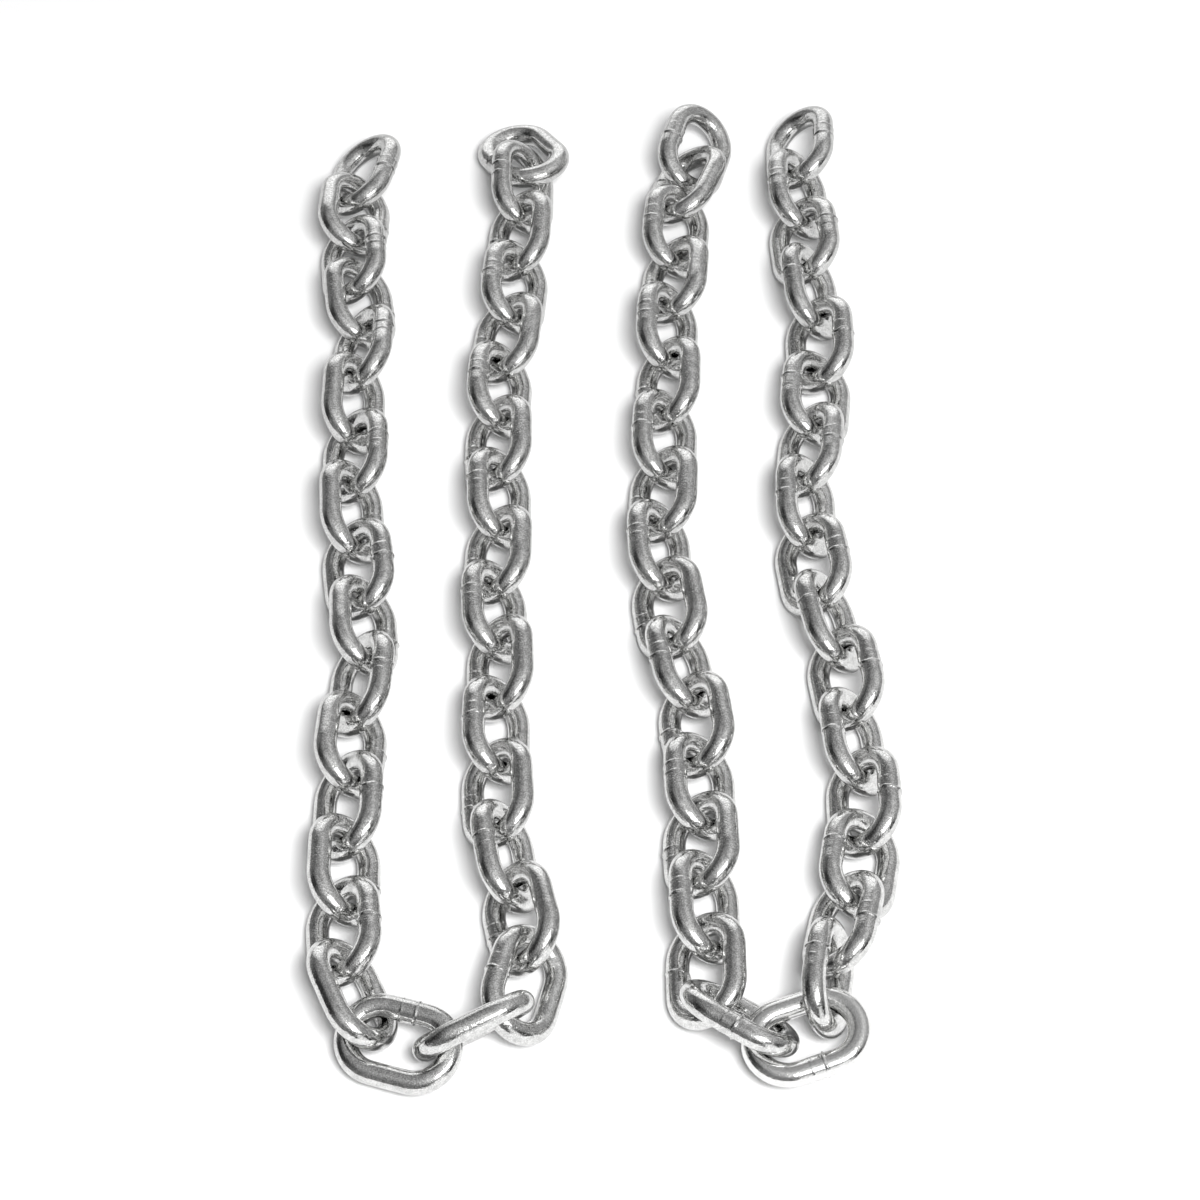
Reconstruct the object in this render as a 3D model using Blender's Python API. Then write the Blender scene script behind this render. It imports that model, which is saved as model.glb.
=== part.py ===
"""Two lengths of welded chain, each laid by hand on a level floor in a long U.

Metres, +Z up. The floor is z = 0, and the origin is on it, under the middle of both lengths.
Seen from above with +Y away, each length starts with link 1 at the far left end of its U, comes
nearer down to the turn, and goes back up to link 34 at the far right end.
"""
import math

import bpy
from mathutils import Matrix, Vector
from mathutils.bvhtree import BVHTree

MM = 0.001

# One link, bent from round bar
BAR = 0.0100
EYE_LENGTH = 0.0346
LINK_WIDTH = 0.0388
LEG_OFFSET = (LINK_WIDTH - BAR) / 2
LEG_HALF = (EYE_LENGTH + BAR) / 2 - LEG_OFFSET

# The bar is drawn with eight flats and the same section area as the round bar
BAR_SIDES = 8
HALF_FLAT = 180 / BAR_SIDES
CROWN_STEPS = 6
SIDED_FACTOR = math.sqrt(math.tau / (BAR_SIDES * math.sin(math.tau / BAR_SIDES)))

# A link's near end is raised until a copy of it, its bar thicker by twice this gap, touches the
# next link. Two links that share a node sink into each other by a little instead.
BEARING_GAP = 0.0002
JOINED_GAP = -0.0005

# The tips of the near end, in degrees, at which a link may be clear of the next one, the likeliest
# first. Raising goes on from there by steps, then by halves, and a tip under the least one is none.
LIKELY_TIP = 5
STEEPEST_TIP = 14
CLEAR_TIPS = sorted(range(STEEPEST_TIP + 1), key=lambda tip: abs(tip - LIKELY_TIP))
TIP_STEP = 0.25
HALVINGS = 6
LEAST_TIP = 0.5

# Where a link has no room in its planned place, it is moved by as few of these steps as will do,
# in millimetres, and by no more than this number of them along its length or across it
MOVE_STEP = 0.25
MOVE_REACH = 10

# The straight runs, outward from the turn: the middle of each link in millimetres, and its lean
# in degrees. A positive lean lifts the right leg, and a negative one the left leg.
LEFT_OUTER = {
    "numbers": range(15, 0, -1),
    "middles": [(-107, -185), (-108, -155), (-108, -122), (-108, -91), (-105, -58), (-105, -27),
                (-109, 7), (-113, 38), (-113, 72), (-115, 103), (-112, 135), (-115, 167),
                (-119, 194), (-120, 224), (-117, 252)],
    "leans": [39, -47, 43, -48, 48, -48, 39, -51, 42, -52, 47, -39, 40, -37, 34],
}
LEFT_INNER = {
    "numbers": range(19, 35),
    "middles": [(-31, -210), (-33, -179), (-41, -148), (-44, -114), (-45, -83), (-44, -49),
                (-47, -19), (-46, 16), (-46, 46), (-47, 80), (-47, 111), (-44, 146), (-41, 176),
                (-39, 210), (-38, 243), (-38, 267)],
    "leans": [-41, 45, -54, 42, -48, 46, -49, 43, -49, 42, -48, 38, -45, 43, -46, 1],
}
RIGHT_INNER = {
    "numbers": range(16, 0, -1),
    "middles": [(44, -203), (44, -173), (43, -142), (43, -112), (42, -80), (36, -49), (31, -16),
                (27, 16), (29, 50), (30, 82), (32, 115), (32, 149), (36, 183), (37, 214),
                (42, 245), (47, 268)],
    "leans": [37, -45, 40, -42, 43, -48, 42, -48, 42, -45, 46, -48, 41, -41, 34, -39],
}
RIGHT_OUTER = {
    "numbers": range(20, 35),
    "middles": [(102, -182), (110, -151), (113, -120), (110, -89), (108, -55), (102, -24),
                (96, 10), (94, 42), (97, 75), (101, 108), (104, 142), (101, 173), (99, 208),
                (97, 237), (99, 269)],
    "leans": [46, -35, 44, -48, 45, -51, 42, -50, 47, -37, 43, -51, 41, -46, 39],
}

# A link's far end heads along its run, except where it turns out of it. Headings are in degrees
# to the right of +Y.
LEFT_HEADINGS = {1: 12, 19: 14, 20: -12, 33: 0, 34: -29}
RIGHT_HEADINGS = {1: 16, 2: 20, 16: 0, 20: 13, 34: 2}

# The links of the turns, that the runs start from: x and y in millimetres, heading, tip of the
# near end, lean, and the height of the middle, or None for a link that lies on the floor. The two
# with a height lie across their neighbours.
LEFT_TURN = {
    16: (-102.1, -215.5, -23.8, -3.4, -46.3, None),
    17: (-82.5, -237.1, 108.3, -3.4, -14.5, 12.9),
    18: (-51.7, -232.3, 66.3, -10.6, 65.1, None),
}
RIGHT_TURN = {
    17: (57.2, -226.8, 121.5, 3.7, 48.3, None),
    18: (84.3, -235.1, 72.8, -6.2, -4.2, 15.7),
    19: (94.0, -209.1, 9.5, 7.0, -67.1, None),
}

# Neighbours that share a node, in both chains
JOINED_PAIRS = {5: 6, 11: 12, 23: 24, 29: 30}
LAST_LINK = 34


def clear_scene():
    for thing in list(bpy.data.objects):
        bpy.data.objects.remove(thing)


def link_path():
    """Middle line of the bar: the far crown from right to left, then the near crown back."""
    path = []
    for end in (1, -1):
        for step in range(CROWN_STEPS + 1):
            angle = math.pi * step / CROWN_STEPS
            across = end * LEG_OFFSET * math.cos(angle)
            along = end * (LEG_HALF + LEG_OFFSET * math.sin(angle))
            path.append((across, along, 0, 1))
    return path


def link_mesh(bar, lean):
    """A link in its own XY plane, turned about its bar so that one flat faces the floor."""
    curve = bpy.data.curves.new("bent_bar", "CURVE")
    curve.dimensions = "3D"
    curve.twist_mode = "Z_UP"
    curve.bevel_depth = bar / 2 * SIDED_FACTOR
    curve.bevel_resolution = (BAR_SIDES - 4) // 2
    path = link_path()
    spline = curve.splines.new("POLY")
    spline.points.add(len(path) - 1)
    for point, place in zip(spline.points, path):
        point.co = place
        point.tilt = math.radians(HALF_FLAT - abs(lean))
    spline.use_cyclic_u = True
    holder = bpy.data.objects.new("bent_bar", curve)
    bpy.context.scene.collection.objects.link(holder)
    depsgraph = bpy.context.evaluated_depsgraph_get()
    mesh = bpy.data.meshes.new_from_object(holder.evaluated_get(depsgraph))
    bpy.data.objects.remove(holder)
    return mesh


def turned(heading, tip, lean):
    """Rotation of a link. A positive tip raises its near end, a positive lean its right leg."""
    about_up = Matrix.Rotation(math.radians(-heading), 4, "Z")
    about_across = Matrix.Rotation(math.radians(-tip), 4, "X")
    about_along = Matrix.Rotation(math.radians(-lean), 4, "Y")
    return about_up @ about_across @ about_along


def on_floor(mesh, x, y, heading, tip, lean):
    turn = turned(heading, tip, lean)
    lowest = min((turn @ vertex.co).z for vertex in mesh.vertices)
    return Matrix.Translation((x * MM, y * MM, -lowest)) @ turn


def tree_of(mesh, matrix):
    corners = [matrix @ vertex.co for vertex in mesh.vertices]
    return BVHTree.FromPolygons(corners, [face.vertices for face in mesh.polygons])


def raised(tip, touches):
    """Goes on from a clear tip by steps, then by halves, and stops just clear."""
    step = TIP_STEP
    while not touches(tip + step):
        tip += step
    for _ in range(HALVINGS):
        step /= 2
        if not touches(tip + step):
            tip += step
    return tip


def moves(heading):
    """Small moves from a planned place, the shortest first."""
    along = Vector((math.sin(math.radians(heading)), math.cos(math.radians(heading))))
    across = Vector((along.y, -along.x))
    reach = range(-MOVE_REACH, MOVE_REACH + 1)
    steps = sorted((abs(i) + abs(j), i, j) for i in reach for j in reach)
    return [(along * i + across * j) * MOVE_STEP for _, i, j in steps]


def bear_on(mesh, feeler, tree, x, y, heading, lean):
    """World matrix of a link with its far end on the floor and its near end on the next link."""
    for move in moves(heading):
        def placed(tip):
            return on_floor(mesh, x + move.x, y + move.y, heading, tip, lean)

        def touches(tip):
            return bool(tree_of(feeler, placed(tip)).overlap(tree))

        for tip in CLEAR_TIPS:
            if not touches(tip):
                bearing_tip = raised(tip, touches)
                return placed(0 if bearing_tip < LEAST_TIP else bearing_tip)
    raise ValueError("no room for a link")


def planned(run, nearest, headings):
    """x, y, heading and lean of each link of a run, by its number."""
    middles = [nearest] + run["middles"]
    middles.append(middles[-1])
    plan = {}
    for number, lean, nearer, here, farther in zip(
            run["numbers"], run["leans"], middles, middles[1:], middles[2:]):
        along = math.degrees(math.atan2(farther[0] - nearer[0], farther[1] - nearer[1]))
        plan[number] = (*here, headings.get(number, along), lean)
    return plan


def lay_turn(turn):
    """Mesh and world matrix of each link of a turn."""
    laid = {}
    for number, (x, y, heading, tip, lean, height) in turn.items():
        mesh = link_mesh(BAR, lean)
        matrix = on_floor(mesh, x, y, heading, tip, lean)
        if height is not None:
            matrix.translation.z = height * MM
        laid[number] = (mesh, matrix)
    return laid


def lay_chain(turn, runs, headings):
    """Mesh and world matrix of every link, each one laid on the link nearer the turn."""
    laid = lay_turn(turn)
    for run in runs:
        outward = run["numbers"].step
        first = run["numbers"][0] - outward
        for number, (x, y, heading, lean) in planned(run, turn[first][:2], headings).items():
            nearer = number - outward
            shared = JOINED_PAIRS.get(min(number, nearer)) == max(number, nearer)
            gap = JOINED_GAP if shared else BEARING_GAP
            mesh = link_mesh(BAR, lean)
            feeler = link_mesh(BAR + 2 * gap, lean)
            matrix = bear_on(mesh, feeler, tree_of(*laid[nearer]), x, y, heading, lean)
            laid[number] = (mesh, matrix)
    return laid


def zinc_material():
    """Bright zinc plating on steel."""
    material = bpy.data.materials.new("zinc_plated_steel")
    material.use_nodes = True
    shader = material.node_tree.nodes["Principled BSDF"]
    shader.inputs["Base Color"].default_value = (0.62, 0.62, 0.61, 1)
    shader.inputs["Metallic"].default_value = 1.0
    shader.inputs["Roughness"].default_value = 0.3
    return material


def link_object(name, mesh, matrix, collection, material):
    thing = bpy.data.objects.new(name, mesh)
    thing.matrix_world = matrix
    mesh.polygons.foreach_set("use_smooth", [True] * len(mesh.polygons))
    mesh.materials.clear()
    mesh.materials.append(material)
    collection.objects.link(thing)
    return thing


def join_into(first, second):
    """Makes one body of two links that sink into each other where they bear."""
    joint = first.modifiers.new("join", "BOOLEAN")
    joint.operation = "UNION"
    joint.solver = "EXACT"
    joint.object = second
    depsgraph = bpy.context.evaluated_depsgraph_get()
    mesh = bpy.data.meshes.new_from_object(first.evaluated_get(depsgraph))
    first.modifiers.clear()
    first.data = mesh
    bpy.data.objects.remove(second)


def build_chain(side, laid, collection, material):
    seconds = JOINED_PAIRS.values()
    for number in range(1, LAST_LINK + 1):
        if number in seconds:
            continue
        if number not in JOINED_PAIRS:
            link_object(f"{side}_chain_link_{number:02d}", *laid[number], collection, material)
            continue
        other = JOINED_PAIRS[number]
        name = f"{side}_chain_links_{number:02d}_{other:02d}"
        first = link_object(name, *laid[number], collection, material)
        second = link_object("joined_link", *laid[other], collection, material)
        join_into(first, second)


def centre_on_origin(things):
    """Moves everything so that the origin is under the middle of the whole."""
    bpy.context.view_layer.update()
    corners = [thing.matrix_world @ vertex.co for thing in things for vertex in thing.data.vertices]
    middle = Vector((0, 0, 0))
    for axis in (0, 1):
        reach = [corner[axis] for corner in corners]
        middle[axis] = (min(reach) + max(reach)) / 2
    for thing in things:
        thing.location -= middle


clear_scene()
chains = bpy.data.collections.new("two_laid_chains")
bpy.context.scene.collection.children.link(chains)
zinc = zinc_material()
left = lay_chain(LEFT_TURN, (LEFT_OUTER, LEFT_INNER), LEFT_HEADINGS)
right = lay_chain(RIGHT_TURN, (RIGHT_INNER, RIGHT_OUTER), RIGHT_HEADINGS)
build_chain("left", left, chains, zinc)
build_chain("right", right, chains, zinc)
centre_on_origin(list(chains.objects))
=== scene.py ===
"""Looks of two lengths of welded zinc-plated chain, laid on a white floor in two long U shapes.

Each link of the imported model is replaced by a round-bar link in the same place, with its weld and
its plating. The links are laid by the same rules and values as the model's own.
"""
import math

import bpy
import numpy as np
from mathutils import Matrix, Vector
from mathutils.bvhtree import BVHTree


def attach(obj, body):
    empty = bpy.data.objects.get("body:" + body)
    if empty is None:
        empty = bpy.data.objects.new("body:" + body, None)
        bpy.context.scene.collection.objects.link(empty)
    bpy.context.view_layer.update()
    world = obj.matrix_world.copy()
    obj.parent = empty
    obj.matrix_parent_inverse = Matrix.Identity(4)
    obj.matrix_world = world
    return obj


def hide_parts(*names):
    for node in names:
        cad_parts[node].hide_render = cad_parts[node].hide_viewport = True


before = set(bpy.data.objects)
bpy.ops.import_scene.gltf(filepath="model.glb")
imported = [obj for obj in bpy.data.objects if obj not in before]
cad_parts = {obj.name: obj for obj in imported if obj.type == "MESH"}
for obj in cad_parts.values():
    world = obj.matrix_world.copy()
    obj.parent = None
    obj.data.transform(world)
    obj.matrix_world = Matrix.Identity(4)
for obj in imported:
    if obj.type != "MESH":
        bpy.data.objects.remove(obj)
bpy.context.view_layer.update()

MM = 0.001

# One link, bent from round bar
BAR = 0.0100
EYE_LENGTH = 0.0346
LINK_WIDTH = 0.0388
LEG_OFFSET = (LINK_WIDTH - BAR) / 2
LEG_HALF = (EYE_LENGTH + BAR) / 2 - LEG_OFFSET

# The model's bar has eight flats and the same section area as the round bar. The links are laid
# with it, so that they lie where the model's do.
BAR_SIDES = 8
HALF_FLAT = 180 / BAR_SIDES
CROWN_STEPS = 6
SIDED_FACTOR = math.sqrt(math.tau / (BAR_SIDES * math.sin(math.tau / BAR_SIDES)))

# A link's near end is raised until a copy of it, its bar thicker by twice this gap, touches the
# next link. Two links that share a node sink into each other by a little instead.
BEARING_GAP = 0.0002
JOINED_GAP = -0.0005

# The tips of the near end, in degrees, at which a link may be clear of the next one, the likeliest
# first. Raising goes on from there by steps, then by halves, and a tip under the least one is none.
LIKELY_TIP = 5
STEEPEST_TIP = 14
CLEAR_TIPS = sorted(range(STEEPEST_TIP + 1), key=lambda tip: abs(tip - LIKELY_TIP))
TIP_STEP = 0.25
HALVINGS = 6
LEAST_TIP = 0.5

# Where a link has no room in its planned place, it is moved by as few of these steps as will do,
# in millimetres, and by no more than this number of them along its length or across it
MOVE_STEP = 0.25
MOVE_REACH = 10

# The straight runs, outward from the turn: the middle of each link in millimetres, and its lean
# in degrees. A positive lean lifts the right leg, and a negative one the left leg. Another program
# fitted most of these numbers to the photo, and they were rounded.
LEFT_OUTER = {
    "numbers": range(15, 0, -1),
    "middles": [(-107, -185), (-108, -155), (-108, -122), (-108, -91), (-105, -58), (-105, -27),
                (-109, 7), (-113, 38), (-113, 72), (-115, 103), (-112, 135), (-115, 167),
                (-119, 194), (-120, 224), (-117, 252)],
    "leans": [39, -47, 43, -48, 48, -48, 39, -51, 42, -52, 47, -39, 40, -37, 34],
}
LEFT_INNER = {
    "numbers": range(19, 35),
    "middles": [(-31, -210), (-33, -179), (-41, -148), (-44, -114), (-45, -83), (-44, -49),
                (-47, -19), (-46, 16), (-46, 46), (-47, 80), (-47, 111), (-44, 146), (-41, 176),
                (-39, 210), (-38, 243), (-38, 267)],
    "leans": [-41, 45, -54, 42, -48, 46, -49, 43, -49, 42, -48, 38, -45, 43, -46, 1],
}
RIGHT_INNER = {
    "numbers": range(16, 0, -1),
    "middles": [(44, -203), (44, -173), (43, -142), (43, -112), (42, -80), (36, -49), (31, -16),
                (27, 16), (29, 50), (30, 82), (32, 115), (32, 149), (36, 183), (37, 214),
                (42, 245), (47, 268)],
    "leans": [37, -45, 40, -42, 43, -48, 42, -48, 42, -45, 46, -48, 41, -41, 34, -39],
}
RIGHT_OUTER = {
    "numbers": range(20, 35),
    "middles": [(102, -182), (110, -151), (113, -120), (110, -89), (108, -55), (102, -24),
                (96, 10), (94, 42), (97, 75), (101, 108), (104, 142), (101, 173), (99, 208),
                (97, 237), (99, 269)],
    "leans": [46, -35, 44, -48, 45, -51, 42, -50, 47, -37, 43, -51, 41, -46, 39],
}

# A link's far end heads along its run, except where it turns out of it. Headings are in degrees
# to the right of +Y. Another program fitted most of them to the photo, and they were rounded.
LEFT_HEADINGS = {1: 12, 19: 14, 20: -12, 33: 0, 34: -29}
RIGHT_HEADINGS = {1: 16, 2: 20, 16: 0, 20: 13, 34: 2}

# The links of the turns, that the runs start from: x and y in millimetres, heading, tip of the
# near end, lean, and the height of the middle, or None for a link that lies on the floor. The two
# with a height lie across their neighbours. Another program fitted these numbers to the photo, and
# three of left 17's were changed a little afterwards.
LEFT_TURN = {
    16: (-102.1, -215.5, -23.8, -3.4, -46.3, None),
    17: (-82.5, -237.1, 108.3, -3.4, -14.5, 12.9),
    18: (-51.7, -232.3, 66.3, -10.6, 65.1, None),
}
RIGHT_TURN = {
    17: (57.2, -226.8, 121.5, 3.7, 48.3, None),
    18: (84.3, -235.1, 72.8, -6.2, -4.2, 15.7),
    19: (94.0, -209.1, 9.5, 7.0, -67.1, None),
}

# Neighbours that share a node, in both chains
JOINED_PAIRS = {5: 6, 11: 12, 23: 24, 29: 30}
LAST_LINK = 34

# A link whose lowest point is under this height lies on the floor
NEAR_FLOOR = BAR / 4

# The drawn bar of a link: sides round it, and stretches along a crown, a plain leg and a welded leg
ROUND_SIDES = 32
CROWN_STRETCHES = 20
PLAIN_STRETCHES = 5
WELDED_STRETCHES = 40

# A weld, in millimetres: a low swell of the bar with a ridge along each end of it. From one weld
# to the next, the swell's middle and half its length differ by up to the amounts given here.
SWELL_LENGTH = 5.6
SWELL_HEIGHT = 0.10
SWELL_FADE = 0.35
MIDDLE_VARIES = 0.7
HALF_LENGTH_VARIES = 0.4
RIDGE_WIDTH = 0.40
RIDGE_HEIGHT = 0.62

# One ridge of a weld is strong and the other one faint: the least and the most that each can be,
# as a part of the height above
STRONG_RIDGE = (0.85, 1.2)
FAINT_RIDGE = (0.05, 0.4)

# A ridge runs round the bar unevenly, in waves. Each has how often it goes up and down round the
# bar, how far it shifts the ridge along the leg, in millimetres, and how much of the ridge's height
# a wave that goes up and down once more adds to the mean part or takes from it.
RIDGE_WAVES = ((1, 0.45, 0.25), (3, 0.22, 0.20), (7, 0.10, 0.18))
MEAN_RIDGE = 0.75

# The plating that a weld has dulled, in millimetres along the leg: how far its middle can be from
# mid-leg, the least and the most that it reaches to each side, and how softly it ends. The
# strength goes from 0, as bright as the rest, to 1.
SCORCH_MIDDLE_VARIES = 1.5
SCORCH_REACH = (2.5, 4.5)
SCORCH_FADE = 0.8
SCORCH_STRENGTH = (0.3, 1.0)

# The leg that has the weld, seen from the link's near end with its far end away
LEFT_CHAIN_WELDS = {"right": range(1, 17), "left": range(17, 35)}
RIGHT_CHAIN_WELDS = {
    "left": [*range(1, 17), *range(19, 35, 2)],
    "right": [17, 18, *range(20, 35, 2)],
}

# Each link draws its own random numbers. Their seed is the link's number added to this one.
SEEDS = {"left": 100, "right": 200}

# The one link whose plating is duller than the rest and painted paler: the paler colour is a painted
# highlight, for the broad highlight that this link shows
PAINTED_HIGHLIGHT_LINKS = {"right": [18]}

# The noises of the plating: scale, which is about how often each goes up and down in a metre,
# detail and roughness
GRAIN_NOISE = (1000, 1, 0.5)
PATCH_NOISE = (300, 3, 0.6)
PIT_NOISE = (1300, 1, 0.5)
FLECK_NOISE = (1900, 2, 0.7)
BLOTCH_NOISE = (700, 2, 0.6)

# The levels of a noise, or of a mix of two, at which its effect starts and is full
PIT_LEVELS = (0.58, 0.68)
TONE_LEVELS = (0.42, 0.58)
BLOTCH_LEVELS = (0.40, 0.60)
PATCH_LEVELS = (0.35, 0.70)

# The colours of the plating: flecks and patches add up to a tone between the dark and the light
# one, a dulled place keeps only part of its tone, and the link with the painted highlight goes most
# of the way to its paler colour
DARK_ZINC = (0.53, 0.53, 0.525, 1)
LIGHT_ZINC = (0.93, 0.93, 0.92, 1)
PAINTED_HIGHLIGHT_ZINC = (0.96, 0.96, 0.95, 1)
FLECK_SHARE = 0.7
PATCH_SHARE = 0.3
DULLED_TONE = 0.15
PAINTED_HIGHLIGHT_SHARE = 0.65

# The roughness of the plating between its patches and on them, and what is added to it
PATCH_ROUGHNESS = (0.02, 0.06)
DULLED_ROUGHNESS = 0.22
PAINTED_HIGHLIGHT_ROUGHNESS = 0.05

# The relief of the grain in metres, and the depth of its pits as a part of that
GRAIN_RELIEF = 0.00004
PIT_DEPTH = 0.6

# The places of a colour mix node's sockets: its factor and two colours, and its result
MIX_FACTOR = 0
MIX_FIRST = 6
MIX_SECOND = 7
MIX_RESULT = 2

# The floor's two sheets: half their side and the depth of the lower one in metres, and their greys.
# Only the lower one shows in the plating, and it glows a little: painted light, which lifts the
# floor's shade under the links where the plating mirrors it.
FLOOR_HALF = 4
WHITE_GREY = 0.92
MIRRORED_DEPTH = 0.0002
MIRRORED_GREY = 0.52
MIRRORED_PAINTED_LIGHT = 0.05

# The studio round the chain, in degrees of azimuth, to the right of the far side, and of elevation.
# Soft patches of light each have their middle, how far from it they are full and where they end,
# and the level that they add to the dark surroundings.
SURROUNDINGS = 0.035
LIGHT_PATCHES = [
    (-3, 10, 8, 37, 1.15),
    (60, 80, 10, 66, 0.32),
    (60, 25, 15, 55, 0.33),
    (140, 50, 18, 44, 0.30),
    (147, 4, 6, 26, 0.95),
    (-165, 60, 8, 38, 0.18),
    (-50, 5, 10, 40, 0.14),
    (-150, 10, 10, 50, 0.16),
]

# The two soft lights: azimuth and elevation as above, distance, long and short side in metres,
# power in watts, and whether the plating shows the light itself
LIGHTS = {
    "softbox": (147, 43, 1.6, (1.05, 0.70), 4.5, True),
    "floor_light": (161, 57, 2.0, (0.64, 0.52), 43, False),
}

# The camera: its lens in millimetres on a sensor 36 mm wide, how far it looks down in degrees,
# and in metres its distance from the point of the floor that it looks at, and how far it sees
LENS = 104.37
SENSOR = 36
LOOK_DOWN = 53
CAMERA_DISTANCE = 1.5754
CAMERA_SIGHT = 50


def link_path():
    """Middle line of the bar: the far crown from right to left, then the near crown back."""
    path = []
    for end in (1, -1):
        for step in range(CROWN_STEPS + 1):
            angle = math.pi * step / CROWN_STEPS
            across = end * LEG_OFFSET * math.cos(angle)
            along = end * (LEG_HALF + LEG_OFFSET * math.sin(angle))
            path.append((across, along, 0, 1))
    return path


def link_mesh(bar, lean):
    """The model's link in its own XY plane, turned about its bar so that a flat faces the floor."""
    curve = bpy.data.curves.new("bent_bar", "CURVE")
    curve.dimensions = "3D"
    curve.twist_mode = "Z_UP"
    curve.bevel_depth = bar / 2 * SIDED_FACTOR
    # Blender gives a bar four sides, and two more for each step of its resolution
    curve.bevel_resolution = (BAR_SIDES - 4) // 2
    path = link_path()
    spline = curve.splines.new("POLY")
    spline.points.add(len(path) - 1)
    for point, place in zip(spline.points, path):
        point.co = place
        point.tilt = math.radians(HALF_FLAT - abs(lean))
    spline.use_cyclic_u = True
    holder = bpy.data.objects.new("bent_bar", curve)
    bpy.context.scene.collection.objects.link(holder)
    depsgraph = bpy.context.evaluated_depsgraph_get()
    mesh = bpy.data.meshes.new_from_object(holder.evaluated_get(depsgraph))
    bpy.data.objects.remove(holder)
    return mesh


def turned(heading, tip, lean):
    """Rotation of a link. A positive tip raises its near end, a positive lean its right leg."""
    about_up = Matrix.Rotation(math.radians(-heading), 4, "Z")
    about_across = Matrix.Rotation(math.radians(-tip), 4, "X")
    about_along = Matrix.Rotation(math.radians(-lean), 4, "Y")
    return about_up @ about_across @ about_along


def on_floor(mesh, x, y, heading, tip, lean):
    """World matrix of a link with its lowest point on the floor."""
    turn = turned(heading, tip, lean)
    lowest = min((turn @ vertex.co).z for vertex in mesh.vertices)
    return Matrix.Translation((x * MM, y * MM, -lowest)) @ turn


def tree_of(mesh, matrix):
    """Search tree of a link's faces where it lies, to test whether another link touches it."""
    corners = [matrix @ vertex.co for vertex in mesh.vertices]
    return BVHTree.FromPolygons(corners, [face.vertices for face in mesh.polygons])


def raised(tip, touches):
    """Goes on from a clear tip by steps, then by halves, and stops just clear."""
    step = TIP_STEP
    while not touches(tip + step):
        tip += step
    for _ in range(HALVINGS):
        step /= 2
        if not touches(tip + step):
            tip += step
    return tip


def moves(heading):
    """Small moves from a planned place, the shortest first."""
    along = Vector((math.sin(math.radians(heading)), math.cos(math.radians(heading))))
    across = Vector((along.y, -along.x))
    reach = range(-MOVE_REACH, MOVE_REACH + 1)
    steps = sorted((abs(i) + abs(j), i, j) for i in reach for j in reach)
    return [(along * i + across * j) * MOVE_STEP for _, i, j in steps]


def bear_on(mesh, feeler, tree, x, y, heading, lean):
    """World matrix of a link with its far end on the floor and its near end on the next link."""
    for move in moves(heading):
        def placed(tip):
            return on_floor(mesh, x + move.x, y + move.y, heading, tip, lean)

        def touches(tip):
            return bool(tree_of(feeler, placed(tip)).overlap(tree))

        for tip in CLEAR_TIPS:
            if not touches(tip):
                bearing_tip = raised(tip, touches)
                return placed(0 if bearing_tip < LEAST_TIP else bearing_tip)
    raise ValueError("no room for a link")


def planned(run, nearest, headings):
    """x, y, heading and lean of each link of a run, by its number."""
    middles = [nearest] + run["middles"]
    middles.append(middles[-1])
    plan = {}
    for number, lean, nearer, here, farther in zip(
            run["numbers"], run["leans"], middles, middles[1:], middles[2:]):
        along = math.degrees(math.atan2(farther[0] - nearer[0], farther[1] - nearer[1]))
        plan[number] = (*here, headings.get(number, along), lean)
    return plan


def lay_turn(turn):
    """Mesh and world matrix of each link of a turn."""
    laid = {}
    for number, (x, y, heading, tip, lean, height) in turn.items():
        mesh = link_mesh(BAR, lean)
        matrix = on_floor(mesh, x, y, heading, tip, lean)
        if height is not None:
            matrix.translation.z = height * MM
        laid[number] = (mesh, matrix)
    return laid


def lay_chain(turn, runs, headings):
    """Mesh and world matrix of every link, each one laid on the link nearer the turn."""
    laid = lay_turn(turn)
    for run in runs:
        outward = run["numbers"].step
        first = run["numbers"][0] - outward
        for number, (x, y, heading, lean) in planned(run, turn[first][:2], headings).items():
            nearer = number - outward
            shared = JOINED_PAIRS.get(min(number, nearer)) == max(number, nearer)
            gap = JOINED_GAP if shared else BEARING_GAP
            mesh = link_mesh(BAR, lean)
            feeler = link_mesh(BAR + 2 * gap, lean)
            matrix = bear_on(mesh, feeler, tree_of(*laid[nearer]), x, y, heading, lean)
            laid[number] = (mesh, matrix)
    return laid


def middle_of(laid_chains):
    """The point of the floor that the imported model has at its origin, as in the model's source."""
    corners = [matrix @ vertex.co for laid in laid_chains for mesh, matrix in laid.values()
               for vertex in mesh.vertices]
    middle = Vector((0, 0, 0))
    for axis in (0, 1):
        reach = [corner[axis] for corner in corners]
        middle[axis] = (min(reach) + max(reach)) / 2
    return middle


def bar_stations(welded_leg):
    """Middle of the bar and its outward direction all along a link, and how far from mid-leg.

    That distance is in millimetres, and None everywhere but on the welded leg.
    """
    stations = []
    for side in (1, -1):
        welded = welded_leg == side
        count = WELDED_STRETCHES if welded else PLAIN_STRETCHES
        for step in range(count):
            along = LEG_HALF * (2 * step / count - 1)
            middle = (side * LEG_OFFSET, side * along)
            stations.append((middle, (side, 0), along / MM if welded else None))
        for step in range(CROWN_STRETCHES):
            angle = math.pi * step / CROWN_STRETCHES
            outward = (side * math.cos(angle), side * math.sin(angle))
            middle = (LEG_OFFSET * outward[0], LEG_OFFSET * outward[1] + side * LEG_HALF)
            stations.append((middle, outward, None))
    return stations


def band(along, middle, reach, fade, level=1):
    """The level along a leg: full about the middle, and fading to none past the reach."""
    return level / (1 + np.exp((np.abs(along - middle) - reach) / fade))


def ridge_waves(angles, rng):
    """How far a ridge wanders along the leg, and which part of its height it has, round the bar."""
    wander = uneven = 0
    for turns, shift, swing in RIDGE_WAVES:
        wander = wander + shift * np.sin(turns * angles + rng.uniform(0, math.tau))
        uneven = uneven + swing * np.sin((turns + 1) * angles + rng.uniform(0, math.tau))
    return wander, MEAN_RIDGE + uneven


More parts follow.
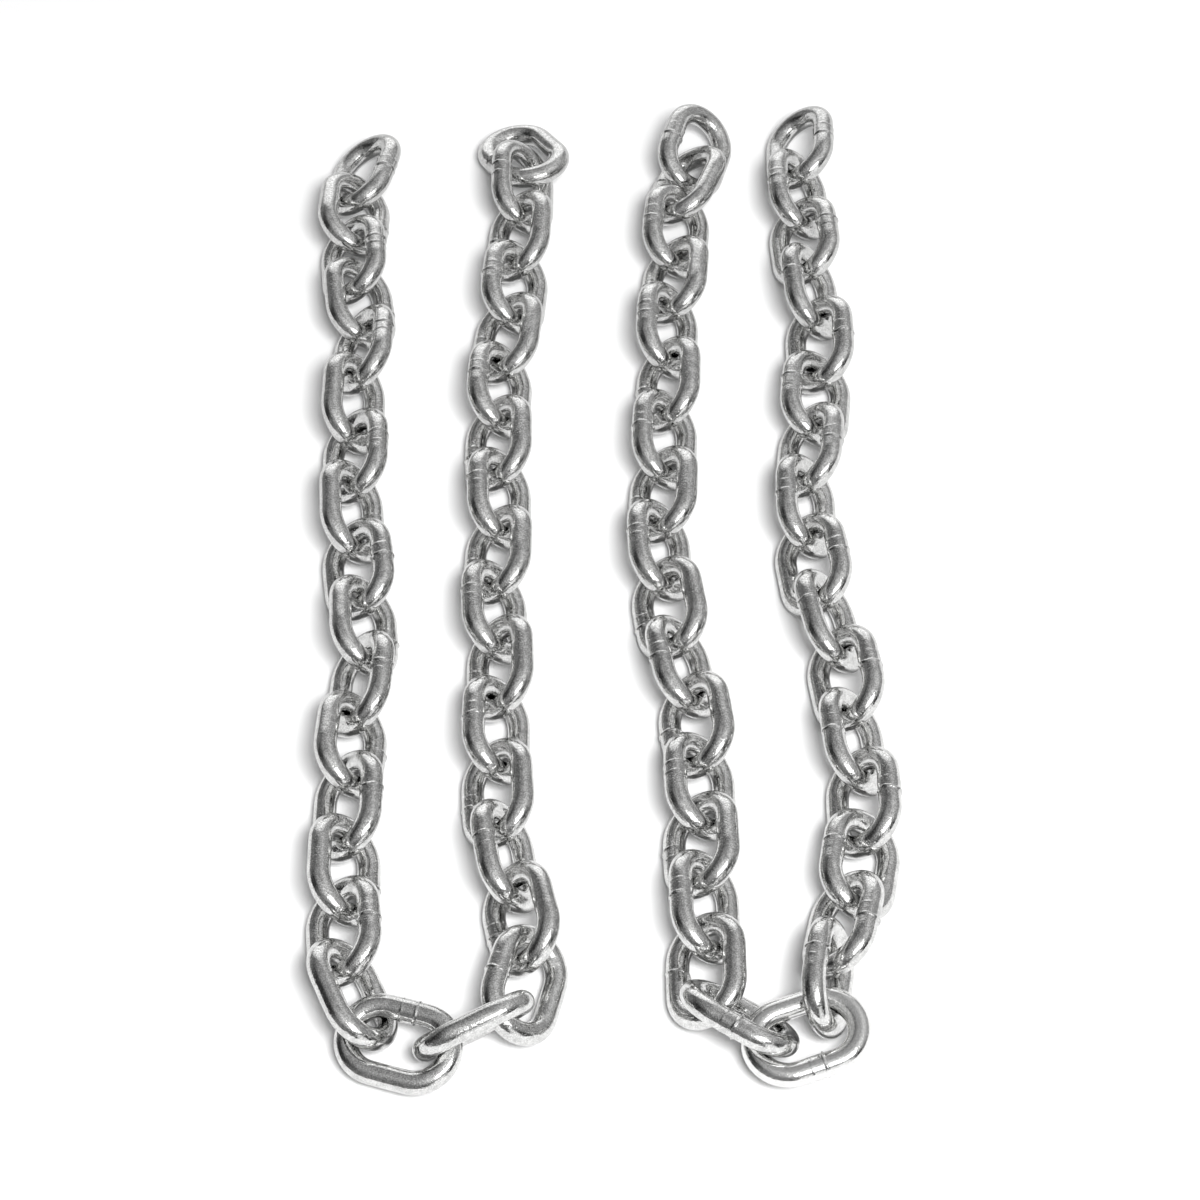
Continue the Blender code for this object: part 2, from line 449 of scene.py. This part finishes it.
def weld_relief(along, angles, rng):
    """Height of the weld above the bar, in millimetres, along a leg and round it."""
    height = np.zeros((len(along), len(angles)))
    edge = SWELL_LENGTH / 2 + rng.uniform(-HALF_LENGTH_VARIES, HALF_LENGTH_VARIES)
    middle = rng.uniform(-MIDDLE_VARIES, MIDDLE_VARIES)
    height += SWELL_HEIGHT * band(along[:, None], middle, edge, SWELL_FADE)
    strong = rng.choice((-1, 1))
    for side in (-1, 1):
        least, most = STRONG_RIDGE if side == strong else FAINT_RIDGE
        strength = rng.uniform(least, most)
        wander, uneven = ridge_waves(angles, rng)
        away = along[:, None] - middle - side * edge - wander[None, :]
        height += strength * RIDGE_HEIGHT * uneven[None, :] * np.exp(-(away / RIDGE_WIDTH) ** 2)
    return height


def scorching(along, rng):
    """How far the plating is dulled by the weld, from 0 to 1, along a leg."""
    middle = rng.uniform(-SCORCH_MIDDLE_VARIES, SCORCH_MIDDLE_VARIES)
    reach = rng.uniform(*SCORCH_REACH)
    strength = rng.uniform(*SCORCH_STRENGTH)
    return band(along, middle, reach, SCORCH_FADE, strength)[:, None]


def round_link(welded_leg, rng):
    """Corners and faces of one round-bar link in its own XY plane, and how dull its plating is."""
    middles, outward, along = zip(*bar_stations(welded_leg))
    count = len(middles)
    weld_rows = [row for row, place in enumerate(along) if place is not None]
    along_weld = np.array([along[row] for row in weld_rows])
    angles = np.arange(ROUND_SIDES) * math.tau / ROUND_SIDES
    radius = np.full((count, ROUND_SIDES), BAR / 2)
    radius[weld_rows] += MM * weld_relief(along_weld, angles, rng)
    scorched = np.zeros((count, ROUND_SIDES))
    scorched[weld_rows] = scorching(along_weld, rng)
    middles = np.array([(*middle, 0) for middle in middles])
    outward = np.array([(*direction, 0) for direction in outward])
    ring = np.cos(angles)[None, :, None] * outward[:, None, :]
    ring = ring + np.sin(angles)[None, :, None] * np.array((0, 0, 1))
    corners = middles[:, None, :] + radius[:, :, None] * ring
    faces = []
    for row in range(count):
        next_row = (row + 1) % count
        for side in range(ROUND_SIDES):
            next_side = (side + 1) % ROUND_SIDES
            face = ((row, side), (next_row, side), (next_row, next_side), (row, next_side))
            faces.append([at_row * ROUND_SIDES + at_side for at_row, at_side in face])
    return corners.reshape(-1, 3), faces, scorched.ravel()


def laid_corners(corners, mesh, matrix, centre):
    """Corners of a round link where the model's link lies, and on the floor if that one is."""
    turn = np.array(matrix.to_3x3())
    corners = corners @ turn.T + np.array(matrix.translation) - np.array(centre)
    lowest = min((matrix @ vertex.co).z for vertex in mesh.vertices)
    if lowest < NEAR_FLOOR:
        corners[:, 2] += lowest - min(corners[:, 2])
    # Rounding can leave the lowest corner a hair below the floor
    corners[:, 2] = np.maximum(corners[:, 2], 0)
    return corners


def link_piece(name, links, centre, material, node):
    """Makes one piece of one link, or of the two that share a node, to replace that node."""
    corners, faces, scorched, painted_highlight = [], [], [], []
    for laid, welded_leg, seed, painted_highlight_level in links:
        own, own_faces, own_scorched = round_link(welded_leg, np.random.default_rng(seed))
        scorched.extend(own_scorched)
        painted_highlight.extend([painted_highlight_level] * len(own))
        first = len(corners)
        corners.extend(laid_corners(own, *laid, centre).tolist())
        faces.extend([[first + corner for corner in face] for face in own_faces])
    mesh = bpy.data.meshes.new(name)
    mesh.from_pydata(corners, [], faces)
    mesh.polygons.foreach_set("use_smooth", [True] * len(mesh.polygons))
    mesh.attributes.new("scorched", "FLOAT", "POINT").data.foreach_set("value", scorched)
    # How much painted highlight each corner has
    mesh.attributes.new("painted_highlight", "FLOAT", "POINT").data.foreach_set("value", painted_highlight)
    mesh.materials.append(material)
    piece = bpy.data.objects.new(name, mesh)
    bpy.context.scene.collection.objects.link(piece)
    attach(piece, "root")
    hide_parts(node)


def dress_chain(side, laid, welds, centre, material):
    """Makes the pieces of one chain, from its laid links."""
    leg = {number: 1 for number in welds["right"]} | {number: -1 for number in welds["left"]}
    # The links that get the painted highlight
    painted_highlight = PAINTED_HIGHLIGHT_LINKS.get(side, ())
    for number in range(1, LAST_LINK + 1):
        if number in JOINED_PAIRS.values():
            continue
        numbers = [number]
        if number in JOINED_PAIRS:
            numbers.append(JOINED_PAIRS[number])
        tag = "_".join(f"{one:02d}" for one in numbers)
        kind = "links" if len(numbers) > 1 else "link"
        links = [(laid[one], leg[one], SEEDS[side] + one, one in painted_highlight) for one in numbers]
        link_piece(f"{side}_{kind}_{tag}", links, centre, material, f"{side}_chain_{kind}_{tag}")


class Nodes:
    """Adds nodes to a shader tree, each linked as it is made."""

    def __init__(self, tree):
        self.tree = tree

    def add(self, kind, inputs=(), **settings):
        """A node with its settings, and with its inputs set to values or linked to outputs."""
        node = self.tree.nodes.new(kind)
        for key, value in settings.items():
            setattr(node, key, value)
        for socket, value in dict(inputs).items():
            if isinstance(value, bpy.types.NodeSocket):
                self.tree.links.new(value, node.inputs[socket])
            else:
                node.inputs[socket].default_value = value
        return node

    def maths(self, operation, *values):
        """A sum of outputs and numbers."""
        return self.add("ShaderNodeMath", dict(enumerate(values)), operation=operation).outputs[0]

    def noise(self, place, scale, detail, roughness):
        """An uneven value from about 0 to 1 that goes up and down from place to place."""
        return self.add("ShaderNodeTexNoise", {
            "Vector": place, "Scale": scale, "Detail": detail, "Roughness": roughness,
        }).outputs["Fac"]

    def ramp(self, factor, low, high, bottom=0.0, top=1.0, **settings):
        """Goes from the bottom to the top value as the factor goes from low to high."""
        return self.add("ShaderNodeMapRange", {
            "Value": factor, "From Min": low, "From Max": high, "To Min": bottom, "To Max": top,
        }, **settings).outputs["Result"]

    def mix(self, factor, first, second):
        """Goes from the first to the second colour as the factor goes from 0 to 1."""
        inputs = {MIX_FACTOR: factor, MIX_FIRST: first, MIX_SECOND: second}
        return self.add("ShaderNodeMix", inputs, data_type="RGBA").outputs[MIX_RESULT]

    def attribute(self, name):
        """A value that the mesh has at each corner."""
        return self.add("ShaderNodeAttribute", attribute_name=name).outputs["Fac"]


def zinc_material():
    """Bright zinc plating with a fine grain, pits and small patches, dull at the welds, and on one
    link painted paler as a painted highlight.
    """
    material = bpy.data.materials.new("bright_zinc")
    material.use_nodes = True
    nodes = Nodes(material.node_tree)
    shader = material.node_tree.nodes["Principled BSDF"]
    shader.inputs["Metallic"].default_value = 1.0
    place = nodes.add("ShaderNodeTexCoord").outputs["Object"]
    scorched = nodes.attribute("scorched")
    painted_highlight = nodes.attribute("painted_highlight")

    patches = nodes.noise(place, *PATCH_NOISE)
    flecks = nodes.noise(place, *FLECK_NOISE)
    spotted = nodes.maths("MULTIPLY", patches, PATCH_SHARE)
    spotted = nodes.maths("MULTIPLY_ADD", flecks, FLECK_SHARE, spotted)
    blotches = nodes.ramp(nodes.noise(place, *BLOTCH_NOISE), *BLOTCH_LEVELS)
    dulled = nodes.maths("MULTIPLY", scorched, blotches)
    kept = nodes.ramp(dulled, 0.0, 1.0, 1.0, DULLED_TONE)
    tone = nodes.maths("MULTIPLY", nodes.ramp(spotted, *TONE_LEVELS), kept)
    colour = nodes.mix(tone, DARK_ZINC, LIGHT_ZINC)
    # Painted highlight: one link's colour goes most of the way to a paler one
    colour = nodes.mix(nodes.maths("MULTIPLY", painted_highlight, PAINTED_HIGHLIGHT_SHARE), colour, PAINTED_HIGHLIGHT_ZINC)
    material.node_tree.links.new(colour, shader.inputs["Base Color"])

    rough = nodes.ramp(patches, *PATCH_LEVELS, *PATCH_ROUGHNESS)
    rough = nodes.maths("MULTIPLY_ADD", dulled, DULLED_ROUGHNESS, rough)
    rough = nodes.maths("MULTIPLY_ADD", painted_highlight, PAINTED_HIGHLIGHT_ROUGHNESS, rough)
    material.node_tree.links.new(rough, shader.inputs["Roughness"])

    grain = nodes.noise(place, *GRAIN_NOISE)
    pits = nodes.ramp(nodes.noise(place, *PIT_NOISE), *PIT_LEVELS)
    relief = nodes.maths("MULTIPLY_ADD", pits, -PIT_DEPTH, grain)
    bump = nodes.add("ShaderNodeBump", {
        "Height": relief, "Distance": GRAIN_RELIEF, "Strength": 1.0})
    material.node_tree.links.new(bump.outputs["Normal"], shader.inputs["Normal"])
    return material


def floor(name, height, grey, painted_light=0):
    """A level matt sheet, far wider than the chains."""
    sides = ((-1, -1), (1, -1), (1, 1), (-1, 1))
    mesh = bpy.data.meshes.new(name)
    corners = [(x * FLOOR_HALF, y * FLOOR_HALF, height) for x, y in sides]
    mesh.from_pydata(corners, [], [(0, 1, 2, 3)])
    material = bpy.data.materials.new(name)
    material.use_nodes = True
    shader = material.node_tree.nodes["Principled BSDF"]
    shader.inputs["Base Color"].default_value = (grey, grey, grey, 1)
    shader.inputs["Roughness"].default_value = 1.0
    shader.inputs["Specular IOR Level"].default_value = 0.0
    # A glow here is painted light, not a lamp: it lifts the sheet's shade
    shader.inputs["Emission Color"].default_value = (1, 1, 1, 1)
    shader.inputs["Emission Strength"].default_value = painted_light
    mesh.materials.append(material)
    sheet = bpy.data.objects.new(name, mesh)
    bpy.context.scene.collection.objects.link(sheet)
    return sheet


def studio_floor():
    """A white floor, and a darker one just under it that alone shows in the plating and glows a
    little with painted light.
    """
    white = floor("white_floor", 0, WHITE_GREY)
    white.visible_glossy = False
    white.visible_shadow = False
    mirrored = floor("mirrored_floor", -MIRRORED_DEPTH, MIRRORED_GREY, MIRRORED_PAINTED_LIGHT)
    mirrored.visible_camera = False


def towards(azimuth, elevation):
    """Direction from the middle of the floor, by the studio's angles."""
    turn = math.radians(azimuth)
    rise = math.radians(elevation)
    level = math.cos(rise)
    return Vector((math.sin(turn) * level, math.cos(turn) * level, math.sin(rise)))


def studio_world():
    """Surroundings with the soft patches of light that the plating mirrors."""
    world = bpy.data.worlds.new("studio")
    bpy.context.scene.world = world
    world.use_nodes = True
    nodes = Nodes(world.node_tree)
    direction = nodes.add("ShaderNodeTexCoord").outputs["Generated"]
    level = SURROUNDINGS
    for azimuth, elevation, inner, outer, height in LIGHT_PATCHES:
        cosine = nodes.add(
            "ShaderNodeVectorMath", {0: direction, 1: towards(azimuth, elevation)},
            operation="DOT_PRODUCT").outputs["Value"]
        end = math.cos(math.radians(outer))
        full = math.cos(math.radians(inner))
        patch = nodes.ramp(cosine, end, full, 0.0, height, interpolation_type="SMOOTHSTEP")
        level = nodes.maths("ADD", level, patch)
    background = world.node_tree.nodes["Background"]
    world.node_tree.links.new(level, background.inputs["Strength"])
    background.inputs["Color"].default_value = (1, 1, 1, 1)


def area_light(name, azimuth, elevation, distance, size, power, in_gloss):
    """A soft light that shines on the middle of the floor, its long side level."""
    lamp = bpy.data.lights.new(name, "AREA")
    lamp.shape = "RECTANGLE"
    lamp.size, lamp.size_y = size
    lamp.energy = power
    light = bpy.data.objects.new(name, lamp)
    direction = towards(azimuth, elevation)
    light.location = direction * distance
    light.rotation_euler = direction.to_track_quat("Z", "Y").to_euler()
    light.visible_glossy = in_gloss
    bpy.context.scene.collection.objects.link(light)


def camera(centre):
    """The photo's camera, which looks at the point that the chains are laid about."""
    data = bpy.data.cameras.new("camera")
    data.lens = LENS
    data.sensor_width = SENSOR
    data.clip_end = CAMERA_SIGHT
    holder = bpy.data.objects.new("camera", data)
    down = math.radians(LOOK_DOWN)
    back = Vector((0, -math.cos(down), math.sin(down)))
    holder.location = back * CAMERA_DISTANCE - centre
    holder.rotation_euler = (math.pi / 2 - down, 0, 0)
    bpy.context.scene.collection.objects.link(holder)
    bpy.context.scene.camera = holder


left = lay_chain(LEFT_TURN, (LEFT_OUTER, LEFT_INNER), LEFT_HEADINGS)
right = lay_chain(RIGHT_TURN, (RIGHT_INNER, RIGHT_OUTER), RIGHT_HEADINGS)
centre = middle_of((left, right))
zinc = zinc_material()
dress_chain("left", left, LEFT_CHAIN_WELDS, centre, zinc)
dress_chain("right", right, RIGHT_CHAIN_WELDS, centre, zinc)
studio_floor()
studio_world()
for name, settings in LIGHTS.items():
    area_light(name, *settings)
camera(centre)
bpy.context.scene.view_settings.view_transform = "Standard"
